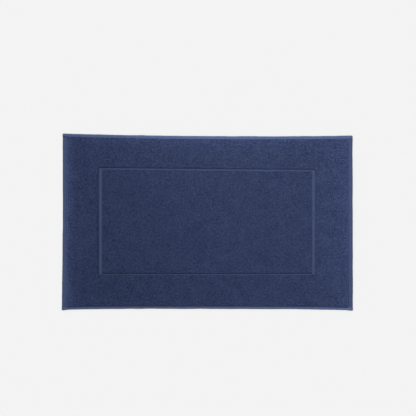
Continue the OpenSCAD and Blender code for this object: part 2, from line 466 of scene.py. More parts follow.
def slab(name, xs, ys, keep, low, high):
    """A closed slab over the kept cells of a grid. low and high are heights at its crossings."""
    grid_x, grid_y = np.meshgrid(xs, ys, indexing="ij")
    levels = [np.stack([grid_x, grid_y, np.broadcast_to(z, grid_x.shape)], axis=-1)
              for z in (high, low)]
    points = np.concatenate([level.reshape(-1, 3) for level in levels])
    index = np.arange(grid_x.size).reshape(grid_x.shape)
    under = grid_x.size
    corners = [index[:-1, :-1], index[1:, :-1], index[1:, 1:], index[:-1, 1:]]
    a, b, c, d = (corner[keep] for corner in corners)
    quads = [np.stack([a, b, c, d], axis=1), np.stack([a, d, c, b], axis=1) + under]
    around = np.pad(keep, 1)
    sides = [around[1:-1, :-2], around[2:, 1:-1], around[1:-1, 2:], around[:-2, 1:-1]]
    for number, beside in enumerate(sides):
        open_side = keep & ~beside
        p, q = corners[number][open_side], corners[(number + 1) % 4][open_side]
        quads.append(np.stack([q, p, p + under, q + under], axis=1))
    faces = np.concatenate(quads)
    used, renumbered = np.unique(faces, return_inverse=True)
    return new_object(name, points[used], renumbered.reshape(faces.shape), points[used][:, :2])


def grid_lines(stops, pitch, rim=()):
    """Coordinates from the first stop to the last that include every stop, with extra lines at
    the distances of rim from each stop. Lines that nearly meet are joined."""
    nearest = 0.3 * MM
    lines = []
    for start, end in zip(stops[:-1], stops[1:]):
        count = max(1, round((end - start) / pitch))
        lines.extend(np.linspace(start, end, count + 1))
        for inset in rim:
            if inset < (end - start) / 2:
                lines.extend([start + inset, end - inset])
    lines = np.unique(np.round(lines, 7))
    return lines[np.insert(np.diff(lines) > nearest, 0, True)]


def inside(grid_x, grid_y, half):
    """Distance inside a centred rectangle, negative outside it."""
    return np.minimum(half[0] - np.abs(grid_x), half[1] - np.abs(grid_y))


def cells(values):
    """Means of a grid of crossings over its cells."""
    return (values[:-1, :-1] + values[1:, :-1] + values[1:, 1:] + values[:-1, 1:]) / 4


# Shader and geometry trees -------------------------------------------------------------------

def add(tree, kind, inputs=None, **settings):
    """Adds a node with its settings. Each input is a value or the socket that feeds it."""
    node = tree.nodes.new(kind)
    for name, value in settings.items():
        setattr(node, name, value)
    for key, value in (inputs or {}).items():
        if isinstance(value, bpy.types.NodeSocket):
            tree.links.new(value, node.inputs[key])
        else:
            node.inputs[key].default_value = value
    return node


def maths(tree, operation, *values):
    """The result of a Math node. Each value is a number or a socket."""
    return add(tree, "ShaderNodeMath", dict(enumerate(values)), operation=operation).outputs[0]


def vector_maths(tree, operation, *values):
    """The result of a Vector Math node, which is a number for a dot product."""
    node = add(tree, "ShaderNodeVectorMath", dict(enumerate(values)), operation=operation)
    return node.outputs[1 if operation == "DOT_PRODUCT" else 0]


def scaled(tree, vector, share):
    """A vector made longer or shorter."""
    return add(tree, "ShaderNodeVectorMath", {0: vector, 3: share}, operation="SCALE").outputs[0]


def join_xyz(tree, x=0.0, y=0.0, z=0.0):
    """A vector made of three numbers or sockets."""
    return add(tree, "ShaderNodeCombineXYZ", {0: x, 1: y, 2: z}).outputs[0]


def split_xyz(tree, vector):
    """The X, Y and Z of a vector."""
    return add(tree, "ShaderNodeSeparateXYZ", {0: vector}).outputs


def attribute(tree, name):
    """The number that a mesh holds under a name."""
    return add(tree, "ShaderNodeAttribute", attribute_name=name).outputs["Fac"]


def place_on_mat(tree):
    """The place on the mat that is being shaded."""
    return add(tree, "ShaderNodeTexCoord").outputs["Object"]


def place_in_weave(tree):
    """The place on the flat map of a piece, along its threads."""
    return add(tree, "ShaderNodeUVMap", uv_map=WEAVE_MAP).outputs[0]


def noise(tree, at, scale, detail=2.0, roughness=0.5):
    """Soft noise from 0 to 1, with about scale swells to a metre."""
    return add(tree, "ShaderNodeTexNoise", {
        "Vector": at, "Scale": scale, "Detail": detail, "Roughness": roughness}).outputs["Fac"]


def mapped(tree, value, to_low, to_high, from_low=0.0, from_high=1.0):
    """A value carried over from one range to another."""
    return add(tree, "ShaderNodeMapRange", {
        "Value": value, "From Min": from_low, "From Max": from_high,
        "To Min": to_low, "To Max": to_high}).outputs[0]


def ridges(tree, along, per_unit):
    """Rounded ridges from 0 to 1, per_unit of them to each unit of a value."""
    turn = maths(tree, "MULTIPLY", along, math.pi * per_unit)
    return maths(tree, "ABSOLUTE", maths(tree, "SINE", turn))


def mixed(tree, share, first, second):
    """A colour that passes from the first to the second as share goes from 0 to 1."""
    return add(tree, "ShaderNodeMix", {0: share, 6: first, 7: second}, data_type="RGBA").outputs[2]


def brightened(tree, colour, value):
    """A colour made brighter or darker by a value round 1."""
    return add(tree, "ShaderNodeHueSaturation", {"Value": value, "Color": colour}).outputs[0]


def bumped(tree, height, strength, depth, normal=None):
    """A normal that is tilted by a height, depth high at its most."""
    inputs = {"Height": height, "Strength": strength, "Distance": depth}
    if normal is not None:
        inputs["Normal"] = normal
    return add(tree, "ShaderNodeBump", inputs).outputs[0]


def cover(tree, inputs):
    """Ends a material's tree in a Principled shader with these inputs."""
    shader = add(tree, "ShaderNodeBsdfPrincipled", inputs)
    add(tree, "ShaderNodeOutputMaterial", {"Surface": shader.outputs[0]})


def new_material(name):
    """A material with an empty tree, and that tree."""
    material = bpy.data.materials.new(name)
    material.use_nodes = True
    tree = material.node_tree
    tree.nodes.clear()
    return material, tree


def terry_material(packed=False):
    """Carded cotton yarn, twisted soft, woven into uncut loops and washed: quite matt, with a
    faint pale bloom of loose fibres, each loop a touch lighter or darker than its neighbours,
    painted shade at the feet of the loops and painted light and shade along the edges.
    packed is for the lower part, where short loops are crowded too closely to tell apart."""
    name = "cotton_terry_feet" if packed else "cotton_terry_loops"
    if name in bpy.data.materials:
        return bpy.data.materials[name]
    pile = bpy.context.scene.mat_pile
    material, tree = new_material(name)
    at = place_on_mat(tree)
    # Patches 30 to 60 mm wide where the nap turns and the dye took a little deeper, clumps of
    # 6 to 9 mm where washing has matted a few loops together, and each loop's own shade
    patch = noise(tree, at, scale=22.0)
    clump = noise(tree, at, scale=140.0, detail=1.0)
    shade = 0.5
    for cause, weight in ((patch, 0.45), (clump, 1.2), (attribute(tree, "dye"), 0.4)):
        shift = maths(tree, "SUBTRACT", cause, 0.5)
        shade = maths(tree, "MULTIPLY_ADD", shift, weight, shade)
    colour = mixed(tree, shade, tuple(pile.deep_colour), tuple(pile.pale_colour))
    # Painted shade: each loop is painted darker towards its feet, where the shade between loops
    # falls
    painted_shade_full_below = 0.3
    painted_foot_shade_value = mapped(tree, attribute(tree, "rise"), pile.foot_painted_shade, 1.0, from_low=painted_shade_full_below)
    # Painted light beside the hems, less painted shade on loops that bulge over a band or hem
    paler = maths(tree, "MULTIPLY_ADD", attribute(tree, "painted_edge_lighting"), pile.painted_edge_light_share, 1.0)
    colour = brightened(tree, colour, maths(tree, "MULTIPLY", painted_foot_shade_value, paler))
    fibres = noise(tree, at, scale=2200.0, detail=1.0)
    normal = bumped(tree, fibres, strength=0.35, depth=0.15 * MM)
    if packed:
        # Crowns of crowded loops: painted highlight on top and painted shade in the pits between
        # them
        crowns_per_metre, pit = 430.0, 0.75
        crowd = add(tree, "ShaderNodeTexVoronoi", {
            "Vector": at, "Scale": crowns_per_metre, "Randomness": 1.0},
            feature="F1").outputs["Distance"]
        crowns = mapped(tree, crowd, 1.0, 0.0, from_high=pit)
        normal = bumped(tree, crowns, strength=1.0, depth=0.9 * MM, normal=normal)
        colour = brightened(tree, colour, mapped(tree, crowns, to_low=0.65, to_high=1.15))
    cover(tree, {
        "Base Color": colour, "Roughness": 0.95, "Specular IOR Level": 0.2,
        "Sheen Weight": 0.22, "Sheen Roughness": 0.5, "Sheen Tint": tuple(linear("#9DACD6")),
        "Normal": normal})
    return material


def weave_material():
    """Plain weave of carded cotton at about 12 threads to the centimetre, vat dyed: matt, with
    rounded crossings, painted shade in the hollows between threads and whole pieces painted paler
    as painted light. The threads are drawn a little coarser than the real ones so that they show."""
    name = "cotton_flat_weave"
    if name in bpy.data.materials:
        return bpy.data.materials[name]
    weave = bpy.context.scene.mat_weave
    material, tree = new_material(name)
    threads = scaled(tree, place_in_weave(tree), 1 / weave.thread_pitch)
    weft, warp = (ridges(tree, along, 1) for along in split_xyz(tree, threads)[:2])
    over_under = add(tree, "ShaderNodeTexChecker", {"Vector": threads, "Scale": 1.0}).outputs["Fac"]
    height = add(tree, "ShaderNodeMix", {0: over_under, 2: weft, 3: warp}).outputs[0]
    slub = noise(tree, place_on_mat(tree), scale=90.0, detail=3.0, roughness=0.6)
    slub_value = mapped(tree, slub, to_low=0.88, to_high=1.12, from_low=0.3, from_high=0.7)
    # Painted shade: the hollows between the threads are painted darker than their crowns
    colour = mixed(tree, height, tuple(weave.shade_colour), tuple(weave.colour))
    # Painted light: whole pieces painted paler, most where they catch more light
    colour = mixed(tree, attribute(tree, "painted_side_light"), colour, tuple(weave.painted_light_colour))
    cover(tree, {
        "Base Color": brightened(tree, colour, slub_value), "Roughness": 0.88,
        "Specular IOR Level": 0.3, "Sheen Weight": 0.2, "Sheen Roughness": 0.45,
        "Sheen Tint": tuple(linear("#B4C0D8")),
        "Normal": bumped(tree, height, strength=0.6, depth=0.2 * MM)})
    return material


def thread_material():
    """Spun polyester sewing thread, three plies, dyed to match: a soft satin that is a little
    glossier and cleaner in colour than the cotton."""
    name = "polyester_sewing_thread"
    if name in bpy.data.materials:
        return bpy.data.materials[name]
    material, tree = new_material(name)
    turns_per_stitch = 6
    ply = ridges(tree, attribute(tree, "run"), turns_per_stitch)
    dyed = tuple(bpy.context.scene.mat_sewing.colour)
    colour = brightened(tree, dyed, mapped(tree, ply, to_low=0.8, to_high=1.1))
    cover(tree, {
        "Base Color": colour, "Roughness": 0.55, "Specular IOR Level": 0.45,
        "Sheen Weight": 0.1, "Sheen Roughness": 0.4,
        "Normal": bumped(tree, ply, strength=0.5, depth=0.08 * MM)})
    return material


def ribbon_material():
    """White polyester satin ribbon, left blank: smooth, with a soft lengthwise gloss broken by
    fine cross threads."""
    material, tree = new_material("polyester_label_ribbon")
    rows_per_metre = 1 / (0.5 * MM)
    row = ridges(tree, split_xyz(tree, place_in_weave(tree))[0], rows_per_metre)
    cover(tree, {
        "Base Color": mixed(tree, row, tuple(linear("#C9CAC8")), tuple(linear("#E2E2DF"))),
        "Roughness": 0.42, "Specular IOR Level": 0.5,
        "Normal": bumped(tree, row, strength=0.3, depth=0.05 * MM)})
    return material


def floor_material():
    """Seamless studio paper: pale, even and matt."""
    material, tree = new_material("seamless_paper")
    fibres = noise(tree, place_on_mat(tree), scale=900.0)
    cover(tree, {
        "Base Color": tuple(bpy.context.scene.mat_studio.floor_colour), "Roughness": 0.9,
        "Specular IOR Level": 0.1, "Normal": bumped(tree, fibres, strength=0.05, depth=0.1 * MM)})
    return material


def new_tree(name, sockets):
    """A geometry tree with named inputs, and the sockets that give those inputs."""
    tree = bpy.data.node_groups.new(name, "GeometryNodeTree")
    tree.interface.new_socket("Geometry", in_out="INPUT", socket_type="NodeSocketGeometry")
    for label, kind in sockets.items():
        tree.interface.new_socket(label, in_out="INPUT", socket_type=f"NodeSocket{kind}")
    tree.interface.new_socket("Geometry", in_out="OUTPUT", socket_type="NodeSocketGeometry")
    return tree, add(tree, "NodeGroupInput").outputs


def arched_tube(tree, reach, foot, handle, radius, sides, steps):
    """A closed tube round a Bezier arch, as a socket. The arch runs along X from -reach to reach,
    with its ends at the height of foot and its handles at the height of handle."""
    ends = []
    for side in (-1.0, 1.0):
        out = maths(tree, "MULTIPLY", reach, side)
        handle_out = maths(tree, "MULTIPLY", out, HANDLE_SPREAD)
        ends.append((join_xyz(tree, out, z=foot), join_xyz(tree, handle_out, z=handle)))
    (start, start_handle), (end, end_handle) = ends
    arch = add(tree, "GeometryNodeCurvePrimitiveBezierSegment", {
        "Resolution": steps, "Start": start, "Start Handle": start_handle,
        "End Handle": end_handle, "End": end}, mode="POSITION")
    profile = add(tree, "GeometryNodeCurvePrimitiveCircle", {"Resolution": sides, "Radius": radius})
    return add(tree, "GeometryNodeCurveToMesh", {
        "Curve": arch.outputs[0], "Profile Curve": profile.outputs[0],
        "Fill Caps": True}).outputs[0]


def stored(tree, geometry, name, value, domain="POINT"):
    """Geometry that holds a number under a name, for each of its points or instances."""
    return add(tree, "GeometryNodeStoreNamedAttribute", {
        "Geometry": geometry, "Name": name, "Value": value},
        data_type="FLOAT", domain=domain).outputs[0]


def turned_by(tree, angles):
    """The rotation that turns about X, Y and Z by these angles."""
    return add(tree, "FunctionNodeEulerToRotation", {0: angles}).outputs[0]


def heading_of_points(tree, kind):
    """The heading that the points of a tree's base mesh hold."""
    return add(tree, "GeometryNodeInputNamedAttribute", {0: "heading"}, data_type=kind).outputs[0]


def output_instances(tree, instances, material):
    """Ends a tree in real, smooth geometry of one material."""
    real = add(tree, "GeometryNodeRealizeInstances", {0: instances}).outputs[0]
    smooth = add(tree, "GeometryNodeSetShadeSmooth", {0: real}).outputs[0]
    covered = add(tree, "GeometryNodeSetMaterial", {0: smooth, "Material": material}).outputs[0]
    add(tree, "NodeGroupOutput", {0: covered})


def apply_tree(name, tree, base, values):
    """Runs a geometry tree on a base mesh and keeps the result as a plain mesh object."""
    holder = bpy.data.objects.new(name + "_base", base)
    bpy.context.scene.collection.objects.link(holder)
    modifier = holder.modifiers.new("build", "NODES")
    modifier.node_group = tree
    for item in tree.interface.items_tree:
        if item.item_type == "SOCKET" and item.in_out == "INPUT" and item.name in values:
            modifier[item.identifier] = values[item.name]
    evaluated = holder.evaluated_get(bpy.context.evaluated_depsgraph_get())
    mesh = bpy.data.meshes.new_from_object(evaluated)
    holder.modifiers.clear()
    bpy.data.objects.remove(holder)
    mesh.name = name
    made = bpy.data.objects.new(name, mesh)
    bpy.context.scene.collection.objects.link(made)
    if not mesh.polygons:
        raise RuntimeError(f"{name}: the geometry tree made no faces")
    return made


def loop_tree(steps, in_rows):
    """Geometry tree that stands loops of yarn on the cloth: strayed all over a rectangle, or
    in_rows, one on every point of its base mesh, turned as the point's heading says."""
    name = f"terry_loops_{steps}_in_rows" if in_rows else f"terry_loops_{steps}"
    if name in bpy.data.node_groups:
        return bpy.data.node_groups[name]
    tree, given = new_tree(name, {
        "Centre": "Vector", "Length": "Float", "Width": "Float", "Columns": "Int", "Rows": "Int",
        "Pitch X": "Float", "Pitch Y": "Float", "Height": "Float", "Yarn": "Float",
        "Span": "Float", "Shortest": "Float", "Turn Over": "Float", "Lean": "Float", "Nap": "Float",
        "Nap Patch": "Float", "Gap Centre": "Vector", "Gap Half": "Vector", "Seed": "Int",
        "Material": "Material"})

    def random(low, high, draw):
        """A random vector or number for each loop. Every draw has a number of its own."""
        seed = maths(tree, "ADD", given["Seed"], float(draw))
        if isinstance(low, tuple):
            return add(tree, "FunctionNodeRandomValue", {0: low, 1: high, "Seed": seed},
                       data_type="FLOAT_VECTOR").outputs[0]
        return add(tree, "FunctionNodeRandomValue", {2: low, 3: high, "Seed": seed},
                   data_type="FLOAT").outputs[1]

    # One loop, feet on the cloth, before it is turned and leant
    half_span = maths(tree, "MULTIPLY", given["Span"], 0.5)
    radius = maths(tree, "MULTIPLY", given["Yarn"], 0.5)
    crown = maths(tree, "SUBTRACT", given["Height"], radius)
    handle = maths(tree, "DIVIDE", crown, ARCH_TOP)
    tube = arched_tube(tree, half_span, 0.0, handle, radius, LOOP_SIDES, steps)
    position = add(tree, "GeometryNodeInputPosition").outputs[0]
    rise = maths(tree, "DIVIDE", split_xyz(tree, position)[2], given["Height"])
    tube = stored(tree, tube, "rise", rise)

    if in_rows:
        points = given["Geometry"]
        spin = heading_of_points(tree, "FLOAT")
    else:
        # A place for every loop, each strayed within its own cell so that no rows show
        grid = add(tree, "GeometryNodeMeshGrid", {
            "Size X": given["Length"], "Size Y": given["Width"],
            "Vertices X": given["Columns"], "Vertices Y": given["Rows"]}).outputs[0]
        cell = join_xyz(tree, given["Pitch X"], given["Pitch Y"])
        stray = vector_maths(tree, "MULTIPLY", cell, random((-0.5, -0.5, 0), (0.5, 0.5, 0), 1))
        points = add(tree, "GeometryNodeSetPosition", {
            "Geometry": grid,
            "Offset": vector_maths(tree, "ADD", given["Centre"], stray)}).outputs[0]
        spin = random(0.0, math.tau, 2)

    # None where something else stands, such as a label
    away = vector_maths(tree, "SUBTRACT", position, given["Gap Centre"])
    away = vector_maths(tree, "SUBTRACT", vector_maths(tree, "ABSOLUTE", away), given["Gap Half"])
    away_x, away_y = split_xyz(tree, away)[:2]
    clear = maths(tree, "GREATER_THAN", maths(tree, "MAXIMUM", away_x, away_y), 0.0)

    # A lean shared by the patch plus a little of its own. A loop leans to the side far more
    # easily than along its own plane, where both its feet hold it. Noise strays little from its
    # middle, so the lean of a patch is spread out again.
    noise_spread, endways_share = 3.0, 0.25
    patches = add(tree, "ShaderNodeTexNoise", {
        "Vector": position, "Scale": maths(tree, "DIVIDE", 1.0, given["Nap Patch"]), "Detail": 1.0})
    nap = vector_maths(tree, "SUBTRACT", patches.outputs["Color"], (0.5, 0.5, 0.5))
    nap = scaled(tree, nap, maths(tree, "MULTIPLY", given["Nap"], noise_spread))
    own = scaled(tree, random((-1, -1, 0), (1, 1, 0), 3), given["Lean"])
    lean = vector_maths(tree, "ADD", nap, own)
    sine, cosine = maths(tree, "SINE", spin), maths(tree, "COSINE", spin)
    plane = join_xyz(tree, cosine, sine)
    across = join_xyz(tree, maths(tree, "MULTIPLY", sine, -1.0), cosine)
    sideways = vector_maths(tree, "DOT_PRODUCT", lean, plane)
    endways = vector_maths(tree, "DOT_PRODUCT", lean, across)
    turned = turned_by(tree, join_xyz(
        tree, maths(tree, "ADD", given["Turn Over"], sideways),
        maths(tree, "MULTIPLY", endways, endways_share), spin))

    narrowest, widest = 0.9, 1.08
    size = join_xyz(tree, random(narrowest, widest, 4), 1.0, random(given["Shortest"], 1.0, 5))
    loops = add(tree, "GeometryNodeInstanceOnPoints", {
        "Points": points, "Selection": clear, "Instance": tube, "Rotation": turned,
        "Scale": size}).outputs[0]
    dyed = stored(tree, loops, "dye", random(0.0, 1.0, 6), "INSTANCE")
    output_instances(tree, dyed, given["Material"])
    return tree


def stitch_tree():
    """Geometry tree that lays one stitch of thread on every point of its base mesh."""
    name = "lockstitches"
    if name in bpy.data.node_groups:
        return bpy.data.node_groups[name]
    tree, given = new_tree(name, {
        "Stitch": "Float", "Thread": "Float", "Dip": "Float", "Wander": "Float", "Seed": "Int",
        "Material": "Material"})
    # A stitch stops just short of the next one, and its ends dive into the cloth
    half_stitch, handle_rise = 0.47, 0.33
    radius = maths(tree, "MULTIPLY", given["Thread"], 0.5)
    reach = maths(tree, "MULTIPLY", given["Stitch"], half_stitch)
    sunk = maths(tree, "MULTIPLY", given["Dip"], -1.0)
    handle = maths(tree, "MULTIPLY", given["Dip"], handle_rise)
    tube = arched_tube(tree, reach, sunk, handle, radius, THREAD_SIDES, THREAD_STEPS)
    position = add(tree, "GeometryNodeInputPosition").outputs[0]
    along = maths(tree, "DIVIDE", split_xyz(tree, position)[0], given["Stitch"])
    tube = stored(tree, tube, "run", maths(tree, "ADD", along, 0.5))
    astray = add(tree, "FunctionNodeRandomValue", {
        0: (0, 0, -1), 1: (0, 0, 1), "Seed": given["Seed"]}, data_type="FLOAT_VECTOR").outputs[0]
    wander = scaled(tree, astray, given["Wander"])
    heading = vector_maths(tree, "ADD", heading_of_points(tree, "FLOAT_VECTOR"), wander)
    stitches = add(tree, "GeometryNodeInstanceOnPoints", {
        "Points": given["Geometry"], "Instance": tube,
        "Rotation": turned_by(tree, heading)}).outputs[0]
    output_instances(tree, stitches, given["Material"])
    return tree


# Pieces --------------------------------------------------------------------------------------

def lay_feet(name, outer, inner, foot_z, rise, gap, node):
    """The packed lower part of a pile area, as a closed slab that is lower at its edges.
    inner is the half size of the opening in it, and gap a rectangle that is left out."""
    pile = bpy.context.scene.mat_pile
    rim, rim_heights = (0.8 * MM, 2 * MM), (0.5, 0.9, 1.0)
    lowest_lump, middle_rise, middle_dye = 0.86, 0.45, 0.5
    lines = []
    for axis in (0, 1):
        stops = {-outer[axis], outer[axis]}
        if inner is not None:
            stops |= {-inner[axis], inner[axis]}
        if gap is not None:
            stops |= {gap[0][axis], min(gap[1][axis], outer[axis])}
        lines.append(grid_lines(sorted(stops), pile.feet_grid, rim))
    grid_x, grid_y = np.meshgrid(*lines, indexing="ij")
    edge = inside(grid_x, grid_y, outer)
    keep = np.ones(tuple(n - 1 for n in grid_x.shape), dtype=bool)
    if inner is not None:
        edge = np.minimum(edge, -inside(grid_x, grid_y, inner))
        keep &= inside(cells(grid_x), cells(grid_y), inner) < 0
    if gap is not None:
        middle, half = (gap[0] + gap[1]) / 2, (gap[1] - gap[0]) / 2
        edge = np.minimum(edge, -inside(grid_x - middle[0], grid_y - middle[1], half))
        keep &= inside(cells(grid_x) - middle[0], cells(grid_y) - middle[1], half) < 0
    crown = np.interp(edge, (0, *rim), rim_heights)
    lumps = np.random.default_rng(pile.seed).uniform(lowest_lump, 1.0, grid_x.shape)
    surface = foot_z + rise * crown * lumps
    low, high = (surface, foot_z) if rise < 0 else (foot_z, surface)
    made = slab(name, *lines, keep, low, high)
    # The packed feet are painted with the shade of a loop partway up its rise, as painted shade
    set_value(made, "rise", middle_rise)
    set_value(made, "dye", middle_dye)
    set_value(made, "painted_edge_lighting", painted_edge_light_at(points_of(made)))
    place(made, terry_material(packed=True), [node])


def map_from_above(piece):
    """Gives a piece a flat map of itself as seen from above."""
    mesh = piece.data
    flat = points_of(piece)[:, :2]
    low, high = flat.min(axis=0), flat.max(axis=0)
    margin = 0.004
    flat = margin + (1 - 2 * margin) * (flat - low) / (high - low).max()
    layer = mesh.uv_layers.new(name=BAKE_MAP)
    layer.data.foreach_set("uv", flat[corners_of(mesh)].astype(np.float32).ravel())


def loop_sizes(side):
    """Yarn, span, height of the feet and height over them, of the loops on one side."""
    pile = bpy.context.scene.mat_pile
    if side == "top":
        return pile.top_yarn, pile.top_span, SIZES.cloth_top, SIZES.pile_top - SIZES.cloth_top
    return pile.under_yarn, pile.under_span, SIZES.cloth_low, SIZES.cloth_low - SIZES.pile_low


def grow_loops(name, side, number, base, in_rows, values):
    """Loops on one side of the mat, from their own values and the ones that the side shares."""
    pile = bpy.context.scene.mat_pile
    yarn, span, _, height = loop_sizes(side)
    steps, turn_over = (4, 0.0) if side == "top" else (3, math.pi)
    made = apply_tree(name, loop_tree(steps, in_rows), base, {
        "Height": float(height), "Yarn": yarn, "Span": span, "Turn Over": turn_over,
        "Nap Patch": pile.nap_patch, "Seed": pile.seed * 100 + number,
        "Material": terry_material(), **values})
    map_from_above(made)
    return made


def edge_row(half, out, spill, pitch, seed):
    """Places, headings and shades of loops in a row inside the edge of a rectangle with the given
    half size, or outside it where out is 1. spill holds, for the two sides along each axis, how
    far that row bulges over the edge; the loops of a bulging row get as much painted shade, for
    the shadow in the crease beneath them."""
    stray_along, stray_across, most_turn = 0.2, 0.12, 0.35
    rng = np.random.default_rng(seed)
    places, headings, shades = [], [], []
    for across in (0, 1):
        along = 1 - across
        reach = half[along] + (out - 0.5) * pitch
        count = round(2 * reach / pitch)
        at = np.linspace(-reach, reach, count)
        at = at + rng.uniform(-stray_along, stray_along, count) * pitch
        for side, over in zip((-1, 1), spill[across]):
            row = np.zeros((count, 2))
            row[:, along] = at
            row[:, across] = side * (half[across] + over * MM * (-1 if out else 1))
            row[:, across] += rng.uniform(-stray_across, stray_across, count) * pitch
            places.append(row)
            turn = rng.uniform(-most_turn, most_turn, count)
            headings.append(np.full(count, along * math.pi / 2) + turn)
            shades.append(np.full(count, over))
    return np.concatenate(places), np.concatenate(headings), np.concatenate(shades)


def lay_edge_loops(name, rows, side, node, number):
    """Upright loops crowded in rows along the edges of a pile area. rows holds, for each edge,
    its half size, whether the pile is outside it, and how far its loops bulge over it."""
    pile = bpy.context.scene.mat_pile
    from_edge, crowding, shortest, lean_share = 0.55, 0.6, 0.93, 0.4
    yarn, span, foot_z, _ = loop_sizes(side)
    made_rows = []
    for index, (half, out, spill) in enumerate(rows):
        middle = half + yarn * from_edge * (1 if out else -1)
        made_rows.append(edge_row(middle, out, spill, span * crowding, number * 10 + index))
    places, headings, shades = (np.concatenate(values) for values in zip(*made_rows))
    base = bpy.data.meshes.new(name + "_seed")
    base.from_pydata(np.c_[places, np.full(len(places), foot_z)].tolist(), [], [])
    for label, values in (("heading", headings), ("shade", shades)):
        stored_values = base.attributes.new(label, "FLOAT", "POINT")
        stored_values.data.foreach_set("value", values.astype(np.float32))
    made = grow_loops(name, side, number, base, True, {
        "Shortest": shortest, "Lean": pile.lean * lean_share, "Nap": 0.0,
        "Gap Half": (-1.0, -1.0, 0.0)})
    shade = np.empty(len(made.data.vertices), dtype=np.float32)
    made.data.attributes["shade"].data.foreach_get("value", shade)
    # Painted light beside the hems, less painted shadow for each millimetre that a loop bulges
    set_value(made, "painted_edge_lighting", painted_edge_light_at(points_of(made)) - pile.crease_painted_shade * shade)
    for spare in ("shade", "heading"):
        made.data.attributes.remove(made.data.attributes[spare])
    place(made, terry_material(), [node])


def lay_loops(name, low, high, side, node, number):
    """Loops over the rectangle from low to high, on the mat's upper side or its underside."""
    pile = bpy.context.scene.mat_pile
    top = side == "top"
    pitch = (pile.top_pitch_x, pile.top_pitch_y)
    if not top:
        pitch = (pile.under_pitch_x, pile.under_pitch_y)
    _, span, foot_z, _ = loop_sizes(side)
    size = np.array(high) - np.array(low)
    counts = [max(2, round(size[i] / pitch[i])) for i in (0, 1)]
    steps = [size[i] / counts[i] for i in (0, 1)]
    middle = (np.array(high) + np.array(low)) / 2
    gap_low, gap_high = SIZES.label_low[:2], SIZES.label_high[:2]
    gap_middle = (gap_low + gap_high) / 2
    gap_half = (-1.0, -1.0) if top else (gap_high - gap_low) / 2 + span / 2
    made = grow_loops(name, side, number, bpy.data.meshes.new(name + "_seed"), False, {
        "Centre": (middle[0], middle[1], foot_z),
        "Length": float(size[0] - steps[0]), "Width": float(size[1] - steps[1]),
        "Columns": counts[0], "Rows": counts[1],
        "Pitch X": float(steps[0]), "Pitch Y": float(steps[1]),
        "Shortest": pile.shortest, "Lean": pile.lean, "Nap": pile.nap,
        "Gap Centre": (gap_middle[0], gap_middle[1], 0.0),
        "Gap Half": (gap_half[0], gap_half[1], 0.0)})
    set_value(made, "painted_edge_lighting", painted_edge_light_at(points_of(made)))
    place(made, terry_material(), [node])


def hem_section(width, seam):
    """Outline of a double-turned hem as (from the mat's edge, height) in metres, going from the
    inner end of its top ply round the outer fold and back along the slit between the plies."""
    top, low, ply_low = SIZES.cloth_top, SIZES.hem_low, SIZES.cloth_low
    slit, crown, dip = 0.1 * MM, 0.12 * MM, 0.3 * MM
    mid = (top + low) / 2
    reach = (top - low) / 2
    fold = [(reach * (1 - math.cos(a)), mid + reach * math.sin(a))
            for a in np.radians([72, 48, 24, 0, -24, -48, -72])]
    inner_mid = (low + ply_low - slit) / 2
    inner_reach = (ply_low - slit - low) / 2
    inner = [(width - inner_reach + inner_reach * math.cos(a),
              inner_mid + inner_reach * math.sin(a)) for a in np.radians([-75, -40, 0, 40, 75])]
    top_ply = [(width + HEM_JOIN, top), (width, top), (seam + 0.8 * MM, top),
               (seam, top - dip), (seam - 0.8 * MM, top), (seam - 2 * MM, top + crown),
               ((seam + reach) / 2, top + 1.6 * crown), (reach * 1.15, top + 0.4 * crown)]
    bottom = [(reach * 1.3, low), ((seam + reach) / 2, low), (seam - 0.9 * MM, low),
              (seam, low + dip), (seam + 0.6 * MM, low)]
    back = [(width - 0.2 * MM, ply_low), (width + HEM_JOIN, ply_low)]
    return np.array(top_ply + fold + bottom + inner + back)


def smooth_noise(length, step, seed, count):
    """Gentle noise from -1 to 1 along a run, with about one swell per step."""
    knots = max(4, int(length / step) + 2)
    values = np.random.default_rng(seed).uniform(-1, 1, knots)
    at = np.linspace(0, knots - 1, count)
    left = np.clip(at.astype(int), 0, knots - 2)
    share = smooth_step(at - left)
    return values[left] * (1 - share) + values[left + 1] * share


def smooth_step(share):
    """A share from 0 to 1 that starts and ends gently."""
    return share * share * (3 - 2 * share)


def hem_rings(section, seam, stations, seed, stitched, slope):
    """The section at every station along a hem, puckered by its stitches and wavering a little:
    each point as its place along the hem, its distance in from the edge, and its height.
    stitched says where along the hem there is a seam, and slope how far its upper side slopes
    down from the seam to the fold."""
    weave = bpy.context.scene.mat_weave
    stitch = bpy.context.scene.mat_sewing.stitch
    long_swell, short_swell, plump_swell = 35 * MM, 12 * MM, 22 * MM
    pucker_reach, plumpness, under_share = 1.8 * MM, 0.18 * MM, 0.25
    length = stations[-1] - stations[0]
    count = len(stations)
    u, z = section[:, 0], section[:, 1]
    mid = (SIZES.cloth_top + SIZES.hem_low) / 2
    upper = (z > mid)
    outer = np.clip(1 - u / seam, 0, 1)
    near_seam = np.exp(-((u - seam) / pucker_reach) ** 2)
    swell = 0.5 - 0.5 * np.cos(math.tau * stations / stitch)
    drift = smooth_noise(length, long_swell, seed, count)
    drift = drift + 0.5 * smooth_noise(length, short_swell, seed + 1, count)
    plump = smooth_noise(length, plump_swell, seed + 2, count)
    rings = np.zeros((count, len(u), 3))
    rings[:, :, 0] = stations[:, None]
    rings[:, :, 1] = u + weave.waver * drift[:, None] * outer
    rings[:, :, 2] = z
    lift = weave.pucker * (swell * stitched)[:, None] * near_seam
    lift = lift + plumpness * plump[:, None] * outer
    rings[:, :, 2] += lift * upper - under_share * lift * ~upper * near_seam
    share = np.clip((z - mid) / (SIZES.cloth_top - mid), 0, 1)
    rings[:, :, 2] -= math.tan(slope) * np.maximum(seam - u, 0) * share
    return rings


